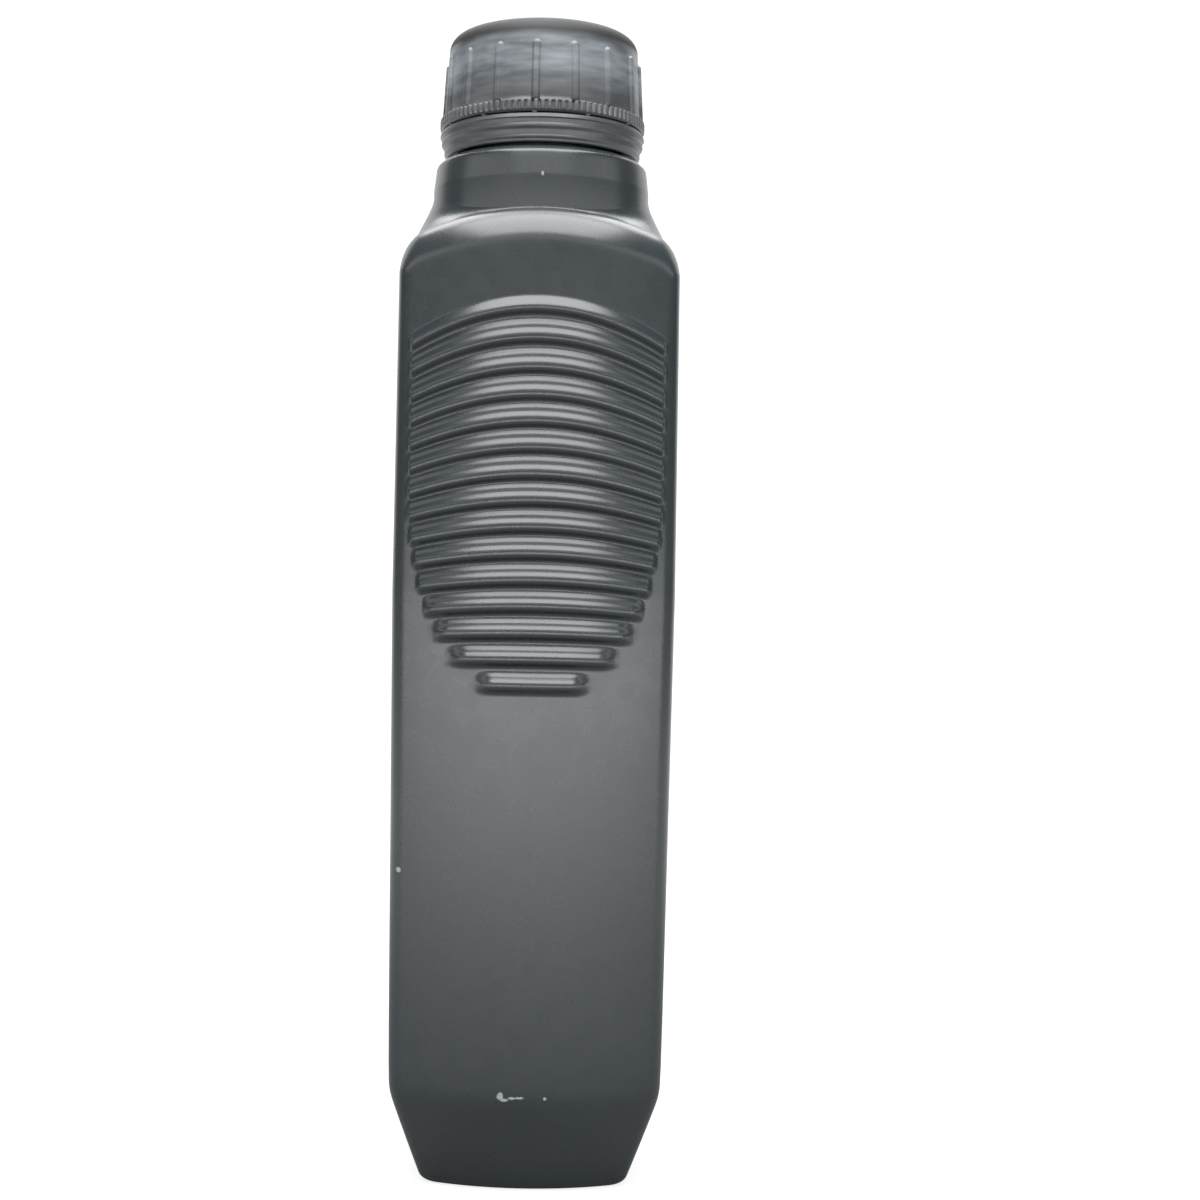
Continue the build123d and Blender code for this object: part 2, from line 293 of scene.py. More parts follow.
def wall_rings(inset, levels, with_ribs):
    """The body's wall, ring by ring. Each ring is named by its level at the middle of a narrow side.
    Between the lowest rib and the wall's top the rings arch as the ribs do, and the last ones run into
    the line where the rounding of the shoulder's edge starts."""
    low = rib_middles()[-1]
    high = top_rib_height
    corner = np.maximum(wall_corner(levels) - inset, smallest_corner_radius)
    x, y, _, _ = plan_outline(wall_inset(levels) + inset, corner)
    into_top = smooth_step((levels - high - run_in_rise) / (levels[-1] - high - run_in_rise))
    arch = np.clip((levels - low) / (high - low), 0, 1) * (1 - into_top)
    drop = top_rib_drop * (x / rib_half_length) ** 2
    height = levels - drop * arch + (shoulder_height(x, y, inset) - levels[-1]) * into_top
    corner = np.maximum(wall_corner(height) - inset, smallest_corner_radius)
    x, y, normal_x, normal_y = plan_outline(wall_inset(height) + inset, corner)
    facing = np.abs(normal_y) > least_narrow_side_normal
    relief = parting_relief(x) * facing
    if with_ribs:
        relief = relief + rib_relief(x, height) * facing
    return np.stack([x + normal_x * relief, y + normal_y * relief, height], -1)


def shoulder_rings(inset, shares):
    """The shoulder, from the wall in to the collar: each point lies on the line from the plan's outline
    to the collar's circle, a share of the way, at the shoulder's height there."""
    x0, y0, _, normal_y = plan_outline(
        wall_inset(np.float64(wall_top_height)) + inset, np.float64(corner_radius - inset)
    )
    angle = np.arctan2(y0, x0)
    radius = collar_radius - inset
    x = x0 + shares * (radius * np.cos(angle) - x0)
    y = y0 + shares * (radius * np.sin(angle) - y0)
    height = shoulder_height(x, y, inset)
    height = height + parting_relief(x) * (np.abs(normal_y) > least_narrow_side_normal) * (1 - shares)
    return np.stack([x, y, height], -1)


def neck_thread_relief(angle, height):
    """How far the thread stands out: a flat-topped ridge along a helix, faded in and out over its
    ends."""
    turn = np.round((height - thread_start_height) / thread_pitch - angle / (2 * math.pi))
    along = turn + angle / (2 * math.pi)
    away = np.abs(height - thread_start_height - along * thread_pitch)
    flank = (away - thread_crest_width / 2) / ((thread_root_width - thread_crest_width) / 2)
    fade_in = smooth_step(along / thread_end_turns)
    fade_out = smooth_step((neck_thread_turns - along) / thread_end_turns)
    return thread_depth * (1 - smooth_step(flank)) * (fade_in * fade_out)


def turned_rings(profile, angle):
    """Rings turned about the Z axis, from a profile of radius and height pairs."""
    radius = profile[:, :1]
    height = profile[:, 1:]
    return np.stack([radius * np.cos(angle), radius * np.sin(angle), height + 0 * angle], -1)


def along_profile(points, spacing):
    """More points along a profile, no further apart than the spacing, with every corner kept."""
    points = np.asarray(points, float)
    runs = [
        np.linspace(a, b, max(1, math.ceil(np.hypot(*(b - a)) / spacing)), endpoint=False)
        for a, b in zip(points[:-1], points[1:])
    ]
    return np.concatenate(runs + [points[-1:]])


def round_corners(points, radius):
    """A profile with its inner corners rounded: each is replaced by five points of the curve that leaves
    it by the radius each way, or by a third of the shorter side, weighted as a quadratic curve about the
    corner."""
    points = np.asarray(points, float)
    rounded = [points[:1]]
    for before, corner, after in zip(points[:-2], points[1:-1], points[2:]):
        to_before, to_after = before - corner, after - corner
        reach = min(radius, np.hypot(*to_before) / 3, np.hypot(*to_after) / 3)
        start = corner + to_before * reach / np.hypot(*to_before)
        end = corner + to_after * reach / np.hypot(*to_after)
        t = np.linspace(0, 1, 5)[:, None]
        rounded.append(start * (1 - t) ** 2 + corner * 2 * t * (1 - t) + end * t**2)
    return np.concatenate(rounded + [points[-1:]])


def skin(name, rings, closed=False):
    """A closed mesh over rings of points in millimetres. Each ring is joined to the next by quads. The
    first and last ring are joined to each other where the skin is closed, and otherwise each is filled by
    a fan about its middle."""
    count, columns = rings.shape[:2]
    points = rings.reshape(-1, 3)
    index = np.arange(count * columns).reshape(count, columns)
    lower = index if closed else index[:-1]
    upper = np.roll(index, -1, axis=0) if closed else index[1:]
    quads = np.stack(
        [lower, np.roll(lower, -1, axis=1), np.roll(upper, -1, axis=1), upper], -1
    ).reshape(-1, 4)
    fans = np.empty((0, 3), int)
    if not closed:
        middles = rings[[0, -1]].mean(axis=1)
        points = np.concatenate([points, middles])
        first, last = index[0], index[-1]
        fans = np.concatenate([
            np.stack([np.roll(first, -1), first, np.full(columns, count * columns)], -1),
            np.stack([last, np.roll(last, -1), np.full(columns, count * columns + 1)], -1),
        ])
    mesh = bpy.data.meshes.new(name)
    mesh.vertices.add(len(points))
    mesh.vertices.foreach_set("co", (points * MM).astype(np.float32).ravel())
    mesh.loops.add(quads.size + fans.size)
    mesh.loops.foreach_set("vertex_index", np.concatenate([quads.ravel(), fans.ravel()]).astype(np.int32))
    starts = np.concatenate([np.arange(len(quads)) * 4, quads.size + np.arange(len(fans)) * 3])
    mesh.polygons.add(len(starts))
    mesh.polygons.foreach_set("loop_start", starts.astype(np.int32))
    mesh.polygons.foreach_set("use_smooth", np.ones(len(starts), bool))
    mesh.update(calc_edges=True)
    mesh.validate()
    piece = bpy.data.objects.new(name, mesh)
    bpy.context.scene.collection.objects.link(piece)
    return piece


# The rows of the wall are closest over the ribs and at the crease, and those of the shoulder at its two
# ends.
rib_levels = np.arange(101.0, 183.2, 0.4)
outer_levels = np.concatenate([
    np.linspace(2.1, 17.0, 9), np.linspace(17.6, 22.0, 9), np.linspace(26, 98, 10), rib_levels,
    np.linspace(183.9, wall_top_height, 10),
])[:, None]
inner_levels = np.concatenate([
    np.linspace(3.4, 22.0, 8), np.linspace(30, 180, 16), np.linspace(182, wall_top_height, 8)
])[:, None]
shoulder_shares = (0.5 - 0.5 * np.cos(np.linspace(0.0, 1, 34) * math.pi))[1:, None]
x0, y0, _, _ = plan_outline(np.float64(0), np.float64(corner_radius))
neck_angle = np.arctan2(y0, x0)
neck_outer = along_profile(round_corners([
    (collar_radius, flare_top_height), (collar_radius, collar_crease_height),
    (collar_edge_radius, collar_edge_height), (collar_top_radius, collar_top_height),
    (neck_radius, collar_top_height + 0.05), (neck_radius, bead_foot_height),
    (bead_radius, bead_foot_height), (bead_radius, bead_foot_height + bead_thickness),
    (neck_radius, bead_foot_height + bead_thickness + bead_slope_height),
    (neck_radius, thread_rows_foot - neck_row_gap),
], neck_corner_round), outer_row_spacing)
thread_heights = np.arange(thread_rows_foot, thread_rows_top, thread_row_spacing)[:, None]
thread_radius = neck_radius + neck_thread_relief(np.mod(neck_angle, 2 * math.pi), thread_heights)
thread_rings = np.stack([
    thread_radius * np.cos(neck_angle), thread_radius * np.sin(neck_angle), thread_heights + 0 * neck_angle
], -1)
neck_inner = along_profile([
    (neck_radius, neck_top_height - neck_rim_chamfer),
    (neck_radius - neck_rim_chamfer, neck_top_height),
    (neck_bore_radius, neck_top_height),
    (neck_bore_radius, collar_top_height - collar_roof_thickness),
    (collar_top_radius - wall, collar_top_height - collar_roof_thickness),
    (collar_radius - wall, collar_crease_height), (collar_radius - wall, flare_top_height),
], inner_row_spacing)
bottle_rings = np.concatenate([
    foot_rings(0), wall_rings(0, outer_levels, True), shoulder_rings(0, shoulder_shares),
    turned_rings(neck_outer, neck_angle), thread_rings, turned_rings(neck_inner, neck_angle),
    shoulder_rings(wall, shoulder_shares)[::-3], wall_rings(wall, inner_levels, False)[::-1],
    foot_rings(wall)[::-1],
])
bottle = skin("bottle_skin", bottle_rings)


def linear(colour):
    """A colour written as an sRGB hex value, as the linear values that the shaders use."""
    shares = [int(colour[i:i + 2], 16) / 255 for i in (1, 3, 5)]
    return [s / 12.92 if s <= 0.04045 else ((s + 0.055) / 1.055) ** 2.4 for s in shares] + [1.0]


def add_node(material, kind, settings=(), inputs=(), links=()):
    """One node of a material, with its settings, its input values and its links from (node, output)
    pairs."""
    node = material.node_tree.nodes.new(kind)
    for key, value in dict(settings).items():
        setattr(node, key, value)
    for key, value in dict(inputs).items():
        node.inputs[key].default_value = value
    for key, (source, output) in dict(links).items():
        material.node_tree.links.new(source.outputs[output], node.inputs[key])
    return node


polyethylene_ior = 1.52


def blow_moulded_hdpe(scuffs_and_glint):
    """Grey polyethylene as it leaves a sandblasted mould: a satin skin with a soft, wide, slightly patchy
    shine, a fine grain and a slightly uneven colour, in clouds of about 36 mm, 28 to the metre. The real
    grain is too fine to show, so it is drawn at 0.55 mm. Each pale mark, a centre and three half sizes in
    millimetres, has a ragged edge: most are scuffs rubbed pale, and one is a painted highlight of a glint."""
    material = bpy.data.materials.new("blow_moulded_grey_HDPE")
    material.use_nodes = True
    nodes = material.node_tree.nodes
    shader = nodes["Principled BSDF"]
    place = add_node(material, "ShaderNodeTexCoord")
    cloud = add_node(material, "ShaderNodeTexNoise", inputs={"Scale": 28.0, "Detail": 3.0},
                     links={"Vector": (place, "Object")})
    tint = add_node(material, "ShaderNodeValToRGB", links={"Fac": (cloud, "Fac")})
    tint.color_ramp.elements[0].position = 0.3
    tint.color_ramp.elements[0].color = linear("#192225")
    tint.color_ramp.elements[1].position = 0.7
    tint.color_ramp.elements[1].color = linear("#1f282c")
    grain = add_node(material, "ShaderNodeTexNoise", inputs={"Scale": 1 / (0.55 * MM), "Detail": 2.0},
                     links={"Vector": (place, "Object")})
    bump = add_node(material, "ShaderNodeBump", inputs={"Strength": 0.12, "Distance": 0.05 * MM},
                    links={"Height": (grain, "Fac")})
    rubbed = add_node(material, "ShaderNodeTexNoise", inputs={"Scale": 1 / (1.2 * MM), "Detail": 3.0},
                      links={"Vector": (place, "Object")})
    strongest = None
    for centre, half_size in scuffs_and_glint:
        about = add_node(material, "ShaderNodeVectorMath", {"operation": "SUBTRACT"},
                         {1: Vector(centre) * MM}, {0: (place, "Object")})
        scaled = add_node(material, "ShaderNodeVectorMath", {"operation": "DIVIDE"},
                          {1: Vector(half_size) * MM}, {0: (about, 0)})
        away = add_node(material, "ShaderNodeVectorMath", {"operation": "LENGTH"},
                        links={0: (scaled, "Vector")})
        ragged = add_node(material, "ShaderNodeMath", {"operation": "ADD"},
                          links={0: (away, "Value"), 1: (rubbed, "Fac")})
        mark = add_node(material, "ShaderNodeMapRange", links={"Value": (ragged, "Value")},
                        inputs={"From Min": 1.25, "From Max": 1.55, "To Min": 0.5, "To Max": 0.0})
        strongest = mark if strongest is None else add_node(
            material, "ShaderNodeMath", {"operation": "MAXIMUM"}, links={0: (strongest, 0), 1: (mark, 0)})
    scuffed_and_glinting = add_node(material, "ShaderNodeMix", {"data_type": "RGBA"}, {7: linear("#d2d6d8")},
                       {0: (strongest, 0), 6: (tint, "Color")})
    shine = add_node(material, "ShaderNodeTexNoise", inputs={"Scale": 1 / (5 * MM), "Detail": 3.0},
                     links={"Vector": (place, "Object")})
    satin = add_node(material, "ShaderNodeMapRange", inputs={
        "From Min": 0.3, "From Max": 0.7, "To Min": 0.26, "To Max": 0.295}, links={"Value": (shine, "Fac")})
    links = material.node_tree.links
    links.new(scuffed_and_glinting.outputs[2], shader.inputs["Base Color"])
    links.new(satin.outputs["Result"], shader.inputs["Roughness"])
    links.new(bump.outputs["Normal"], shader.inputs["Normal"])
    shader.inputs["IOR"].default_value = polyethylene_ior
    shader.inputs["Specular IOR Level"].default_value = 0.9
    return material


# Pale marks: scuffs rubbed into the foot's crease and the front corner, and, on the parting line at the
# collar's crease, a painted highlight where light glints on the seam.
scuffs_and_glint = [
    ((-4.9, -52.0, 20.9), (0.7, 6.0, 0.9)), ((-4.0, -52.0, 20.2), (0.9, 6.0, 0.35)),
    ((-2.6, -52.0, 20.6), (0.8, 6.0, 0.3)), ((-0.9, -52.0, 20.7), (0.9, 6.0, 0.25)),
    ((4.2, -52.0, 20.6), (0.4, 6.0, 0.4)), ((0.2, -24.2, 212.6), (0.3, 3.0, 0.55)),
    ((-26.6, -46.0, 65.4), (0.5, 6.0, 0.6)),
]
bottle.data.materials.append(blow_moulded_hdpe(scuffs_and_glint))
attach(bottle, "bottle")
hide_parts("bottle")


# Tamper-evident ring. Injection-moulded with the cap from the same grey polyethylene, snapped over the
# neck's bead, where its pawls hold it, and joined to the cap by twelve thin bridges that tear when the
# cap is first turned.
ring_low, ring_high = (np.array(corner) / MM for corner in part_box("tamper_ring"))
ring_foot_height = ring_low[2]
bridge_top_height = ring_high[2]
bridge_height = 0.3
ring_top_height = bridge_top_height - bridge_height
ring_lip_height = 1.15
ring_lip_depth = 0.5
ring_lip_inset = 0.12
ring_lip_edge_height = 0.15
ring_corner_round = 0.25
ring_outer_radius = ring_high[0]
ring_taper = 1.55
ring_foot_radius = ring_outer_radius - ring_taper
ring_foot_chamfer_width = 0.3
ring_foot_chamfer_height = 0.25
ring_wall = 1.9
ring_columns = 240
upper_bead_height = ring_foot_height + 3.4
upper_bead_rise = 0.3
upper_bead_half_width = 0.85
lower_bead_height = ring_foot_height + 1.15
lower_bead_rise = 0.2
lower_bead_half_width = 0.55
pawl_radius = 19.35
pawl_height = 1.3
pawl_gap = 0.3
bridge_count = 12
bridge_width = 1.1
bridge_depth = 0.9
bridge_inset = 0.35
bridge_root_height = 0.9
bridge_waist_share = 0.5
bridge_turn = math.radians(-94.5)
# The heights over which painted light runs on the cap: a painted highlight on the upper skirt, and painted
# shade below it and over the rounded top edge.
painted_light_foot_height = 220
painted_light_top_height = 248


def ring_radius(height):
    """The ring's outer radius at a height: a straight taper from foot to top, with two rounded beads on
    it that each rise as one cosine wave."""
    share = (height - ring_foot_height) / (ring_top_height - ring_foot_height)
    taper = ring_foot_radius + (ring_outer_radius - ring_lip_inset - ring_foot_radius) * share
    upper = np.clip(np.abs(height - upper_bead_height) / upper_bead_half_width, 0, 1)
    lower = np.clip(np.abs(height - lower_bead_height) / lower_bead_half_width, 0, 1)
    upper_bead = upper_bead_rise * np.cos(upper * math.pi / 2) ** 2
    lower_bead = lower_bead_rise * np.cos(lower * math.pi / 2) ** 2
    return np.minimum(taper + (upper_bead + lower_bead), ring_outer_radius)


ring_heights = np.linspace(
    ring_foot_height + ring_foot_chamfer_height, ring_top_height - ring_lip_height, 44
)
pawl_top = bead_foot_height - pawl_gap
ring_inner_radius = ring_outer_radius - ring_wall
ring_outer_points = np.stack([ring_radius(ring_heights), ring_heights], -1)
ring_inner_points = round_corners([
    ring_outer_points[-1],
    (ring_outer_radius - ring_lip_inset, ring_top_height - ring_lip_height + ring_lip_edge_height),
    (ring_outer_radius - ring_lip_depth, ring_top_height), (ring_inner_radius, ring_top_height),
    (ring_inner_radius, pawl_top), (pawl_radius, pawl_top), (pawl_radius, pawl_top - pawl_height),
    (ring_foot_radius - ring_foot_chamfer_width, ring_foot_height), ring_outer_points[0],
], ring_corner_round)
ring_profile = np.concatenate([ring_outer_points, ring_inner_points[1:-1]])
ring_angle = np.linspace(0, 2 * math.pi, ring_columns, endpoint=False)
tamper_ring = skin("tamper_ring_skin", turned_rings(ring_profile, ring_angle), closed=True)


def bridge_mesh(name):
    """The bridges: each is a small block whose waist is drawn in to half its width where it tears. Its
    rings follow its height, and its corners turn with its place on the ring."""
    height = np.linspace(ring_top_height - bridge_root_height, bridge_top_height, 7)
    waist = 1 - bridge_waist_share * np.cos((height - height.mean()) / np.ptp(height) * math.pi) ** 2
    mid_radius = ring_outer_radius - bridge_inset - bridge_depth / 2
    corners = np.array([(-1, -1), (1, -1), (1, 1), (-1, 1)]) / 2
    radial = mid_radius + corners[:, 0] * bridge_depth * waist[:, None]
    across = corners[:, 1] * bridge_width * waist[:, None]
    turns = bridge_turn + np.arange(bridge_count) * 2 * math.pi / bridge_count
    points = np.stack([
        radial * np.cos(turns)[:, None, None] - across * np.sin(turns)[:, None, None],
        radial * np.sin(turns)[:, None, None] + across * np.cos(turns)[:, None, None],
        height[:, None] + 0 * radial + 0 * turns[:, None, None],
    ], -1)
    rows = len(height)
    side = np.array([[4 * r + c, 4 * r + (c + 1) % 4, 4 * r + 4 + (c + 1) % 4, 4 * r + 4 + c]
                     for r in range(rows - 1) for c in range(4)])
    ends = np.array([[3, 2, 1, 0], 4 * (rows - 1) + np.arange(4)])
    one = np.concatenate([side, ends])
    faces = (one + (4 * rows * np.arange(bridge_count))[:, None, None]).reshape(-1, 4)
    mesh = bpy.data.meshes.new(name)
    mesh.from_pydata((points.reshape(-1, 3) * MM).tolist(), [], faces.tolist())
    piece = bpy.data.objects.new(name, mesh)
    bpy.context.scene.collection.objects.link(piece)
    return piece


def injection_moulded_hdpe(name, dark, light, roughness):
    """Grey polyethylene from a brushed injection mould: paler than the bottle, with streaky flow marks
    that run round it in long, uneven bands. Over them lies painted light by height: a painted highlight
    makes the upper half of the skirt palest, and painted shade darkens the rest, darkest over the rounded
    top edge, which is made rougher too. The real grain is too fine to show, so it is drawn at 0.8 mm."""
    material = bpy.data.materials.new(name)
    material.use_nodes = True
    shader = material.node_tree.nodes["Principled BSDF"]
    place = add_node(material, "ShaderNodeTexCoord")
    squash = add_node(material, "ShaderNodeMapping", inputs={"Scale": (1.0, 1.0, 5.0)},
                      links={"Vector": (place, "Object")})
    flow = add_node(material, "ShaderNodeTexNoise", inputs={"Scale": 1 / (11 * MM), "Detail": 4.0},
                    links={"Vector": (squash, "Vector")})
    tint = add_node(material, "ShaderNodeValToRGB", links={"Fac": (flow, "Fac")})
    tint.color_ramp.elements[0].position = 0.32
    tint.color_ramp.elements[0].color = linear(dark)
    tint.color_ramp.elements[1].position = 0.68
    tint.color_ramp.elements[1].color = linear(light)
    grain = add_node(material, "ShaderNodeTexNoise", inputs={"Scale": 1 / (0.8 * MM), "Detail": 2.0},
                     links={"Vector": (place, "Object")})
    bump = add_node(material, "ShaderNodeBump", inputs={"Strength": 0.1, "Distance": 0.05 * MM},
                    links={"Height": (grain, "Fac")})
    # Painted light: a ramp by height multiplies the colour, paler on the upper skirt as a painted highlight
    # and darker elsewhere as painted shade, darkest over the top edge, and sets the roughness there.
    level = add_node(material, "ShaderNodeSeparateXYZ", links={"Vector": (place, "Object")})
    rise = add_node(material, "ShaderNodeMapRange", links={"Value": (level, "Z")}, inputs={
        "From Min": painted_light_foot_height * MM, "From Max": painted_light_top_height * MM})
    painted_light_bands = add_node(material, "ShaderNodeValToRGB", links={"Fac": (rise, "Result")})
    for position, painted_lightness in ((0.42, "#9a9a9a"), (0.62, "#ffffff"), (0.82, "#ffffff"), (0.88, "#545454")):
        painted_light_bands.color_ramp.elements.new(position).color = linear(painted_lightness)
    painted_light_bands.color_ramp.elements[0].color = linear("#9a9a9a")
    painted_light_bands.color_ramp.elements[-1].color = linear("#545454")
    tint_and_painted_light = add_node(material, "ShaderNodeMix", {"data_type": "RGBA", "blend_type": "MULTIPLY"}, {0: 1.0},
                      {6: (tint, "Color"), 7: (painted_light_bands, "Color")})
    satin = add_node(material, "ShaderNodeMapRange", links={"Value": (painted_light_bands, "Color")},
                     inputs={"From Min": 0.12, "From Max": 0.32, "To Min": 0.65, "To Max": roughness})
    material.node_tree.links.new(tint_and_painted_light.outputs[2], shader.inputs["Base Color"])
    material.node_tree.links.new(satin.outputs["Result"], shader.inputs["Roughness"])
    material.node_tree.links.new(bump.outputs["Normal"], shader.inputs["Normal"])
    shader.inputs["IOR"].default_value = polyethylene_ior
    shader.inputs["Specular IOR Level"].default_value = 0.7
    return material


ring_bridges = bridge_mesh("tamper_bridges")
cap_plastic = injection_moulded_hdpe("injection_moulded_grey_HDPE", "#50565b", "#868c91", 0.36)
for piece in (tamper_ring, ring_bridges):
    piece.data.materials.append(cap_plastic)
    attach(piece, "bottle")
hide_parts("tamper_ring")


# Screw cap. Injection-moulded in one shot: a drafted cup with a rounded top edge, sixteen finger ribs
# down its skirt, a band of fine teeth round its foot and a thread inside that grips the neck's.
cap_low, cap_high = (np.array(corner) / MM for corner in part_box("screw_cap"))
cap_foot_height = cap_low[2]
cap_top_height = cap_high[2]
cap_top_thickness = 1.7
skirt_foot_radius = 22.15
skirt_top_radius = 21.3
cap_edge_radius = 3.6
cap_inner_foot_radius = 20.45
cap_inner_top_radius = 20.0
knurl_radius = cap_high[0]
knurl_foot_height = cap_foot_height + 0.45
knurl_top_height = cap_foot_height + 2.6
tooth_count = 96
tooth_depth = 1.1
tooth_gap_half_share = 0.13
tooth_flank_share = 0.11
tooth_fade_height = 0.3
columns_per_tooth = 8
cap_rib_count = 16
cap_rib_turn = math.radians(-94.2)
cap_rib_rise = 0.62
cap_rib_half_width = 0.95
cap_rib_crest_half_width = 0.5
cap_rib_top_height = 242.2
cap_thread_turns = 1.1
cap_thread_depth = 1.15


def cap_rib_relief(angle, height):
    """How far the finger ribs stand out of the skirt: a ridge along each rib's line, with a round top
    end, that falls off smoothly with the distance from the line."""
    pitch = 2 * math.pi / cap_rib_count
    from_rib = (angle - cap_rib_turn + pitch / 2) % pitch - pitch / 2
    across = from_rib * skirt_foot_radius
    above = np.maximum(height - cap_rib_top_height + cap_rib_half_width, 0)
    away = np.hypot(across, above)
    fall = (away - cap_rib_crest_half_width) / (cap_rib_half_width - cap_rib_crest_half_width)
    return cap_rib_rise * (1 - smooth_step(fall))


def tooth_relief(angle, height):
    """How far the teeth's gaps are cut into the band: a groove at each tooth pitch, narrower than the
    tooth, that fades out over the band's top and foot."""
    phase = (angle * tooth_count / (2 * math.pi)) % 1
    gap = 1 - smooth_step((np.abs(phase - 0.5) - tooth_gap_half_share) / tooth_flank_share)
    above_foot = smooth_step((height - knurl_foot_height) / tooth_fade_height)
    within = above_foot * (height <= knurl_top_height)
    return tooth_depth * gap * within


def cap_thread_relief(angle, height):
    """How far the inner thread stands in from the cap's wall: a flat-topped ridge half a pitch below the
    neck's."""
    start = thread_start_height - thread_pitch / 2
    turn = np.round((height - start) / thread_pitch - angle / (2 * math.pi))
    along = turn + angle / (2 * math.pi)
    away = np.abs(height - start - along * thread_pitch)
    flank = (away - thread_crest_width / 2) / ((thread_root_width - thread_crest_width) / 2)
    fade_in = smooth_step(along / thread_end_turns)
    fade_out = smooth_step((cap_thread_turns - along) / thread_end_turns)
    return cap_thread_depth * (1 - smooth_step(flank)) * (fade_in * fade_out)


cap_angle = np.linspace(0, 2 * math.pi, tooth_count * columns_per_tooth, endpoint=False)
edge_start_height = cap_top_height - cap_edge_radius
edge_turn = np.linspace(0, math.pi / 2, 12)
cap_ceiling_height = cap_top_height - cap_top_thickness
skirt_slope = (skirt_top_radius - skirt_foot_radius) / (edge_start_height - knurl_top_height)
# The cap from its foot: over the band of teeth, its edges broken, and up the skirt, in rows that are
# closest where the finger ribs end.
foot_profile = [
    (cap_inner_foot_radius, cap_foot_height), (knurl_radius - 0.7, cap_foot_height),
    (knurl_radius - 0.35, cap_foot_height + 0.08), (knurl_radius - 0.3, knurl_foot_height - 0.1),
    (knurl_radius - 0.06, knurl_foot_height), (knurl_radius, knurl_foot_height + 0.15),
    (knurl_radius, knurl_foot_height + 0.35), (knurl_radius, knurl_top_height - 0.35),
    (knurl_radius - 0.08, knurl_top_height - 0.1), (knurl_radius - 0.3, knurl_top_height),
    (skirt_foot_radius + 0.12, knurl_top_height + 0.01),
]
skirt_heights = np.concatenate([
    np.linspace(knurl_top_height + 0.12, 240.6, 14), np.linspace(241.0, 242.6, 9),
    np.linspace(243.0, edge_start_height, 4)[:-1],
])
skirt_profile = np.stack([
    skirt_foot_radius + skirt_slope * (skirt_heights - knurl_top_height), skirt_heights
], -1)
edge_profile = np.stack([
    skirt_top_radius - cap_edge_radius + cap_edge_radius * np.cos(edge_turn),
    edge_start_height + cap_edge_radius * np.sin(edge_turn),
], -1)
top_radii = np.array([14.0, 9.0, 4.0, 1.0])
top_profile = np.stack([top_radii, cap_top_height + 0 * top_radii], -1)
ceiling_radii = np.array([1.0, 8.0, 16.0, cap_inner_top_radius])
ceiling_profile = np.stack([ceiling_radii, cap_ceiling_height + 0 * ceiling_radii], -1)
# The bore from the ceiling down, in rows that are closest over the thread.
bore_heights = np.concatenate([
    [cap_ceiling_height - 0.8, 242.0, 238.0], np.arange(235.6, cap_foot_height + 0.5, -thread_row_spacing)
])
bore_share = (bore_heights - cap_foot_height) / (cap_ceiling_height - cap_foot_height)
bore_profile = np.stack([
    cap_inner_foot_radius + (cap_inner_top_radius - cap_inner_foot_radius) * bore_share, bore_heights
], -1)


def cap_shell(profile, relief):
    """Rings of the cap along a profile, with the relief added to each ring's radius."""
    profile = np.asarray(profile, float)
    radius = profile[:, :1] + relief(cap_angle, profile[:, 1:])
    height = profile[:, 1:] + 0 * radius
    return np.stack([radius * np.cos(cap_angle), radius * np.sin(cap_angle), height], -1)


def no_relief(angle, height):
    """Nothing, for the plain rings of the cap."""
    return 0 * angle * height


screw_cap = skin("screw_cap_skin", np.concatenate([
    cap_shell(ceiling_profile, no_relief),
    cap_shell(bore_profile, lambda angle, height: -cap_thread_relief(np.mod(angle, 2 * math.pi), height)),
    cap_shell(foot_profile, lambda angle, height: -tooth_relief(angle, height)),
    cap_shell(skirt_profile, cap_rib_relief),
    cap_shell(edge_profile, no_relief),
    cap_shell(top_profile, no_relief),
]))
screw_cap.data.materials.append(cap_plastic)
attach(screw_cap, "cap")
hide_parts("screw_cap")


# Cap liner. A disc of white foamed polyethylene, punched from sheet and pressed into the cap, that seals
# the neck.
def foamed_polyethylene():
    """White polyethylene foam: a matt, slightly mottled face with fine closed cells. They are drawn at
    0.6 mm, coarser than the real ones, so that they show."""
    material = bpy.data.materials.new("foamed_polyethylene")
    material.use_nodes = True
    shader = material.node_tree.nodes["Principled BSDF"]
    place = add_node(material, "ShaderNodeTexCoord")
    cells = add_node(material, "ShaderNodeTexVoronoi", inputs={"Scale": 1 / (0.6 * MM)},
                     links={"Vector": (place, "Object")})
    tint = add_node(material, "ShaderNodeValToRGB", links={"Fac": (cells, "Distance")})
    tint.color_ramp.elements[0].color = linear("#e6e5de")
    tint.color_ramp.elements[1].color = linear("#f2f1ec")
    bump = add_node(material, "ShaderNodeBump", inputs={"Strength": 0.3, "Distance": 0.1 * MM},
                    links={"Height": (cells, "Distance")})
    material.node_tree.links.new(tint.outputs["Color"], shader.inputs["Base Color"])
    material.node_tree.links.new(bump.outputs["Normal"], shader.inputs["Normal"])
    shader.inputs["Roughness"].default_value = 0.7
    return material


cap_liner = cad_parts["cap_liner"]
cap_liner.data.materials.clear()
cap_liner.data.materials.append(foamed_polyethylene())


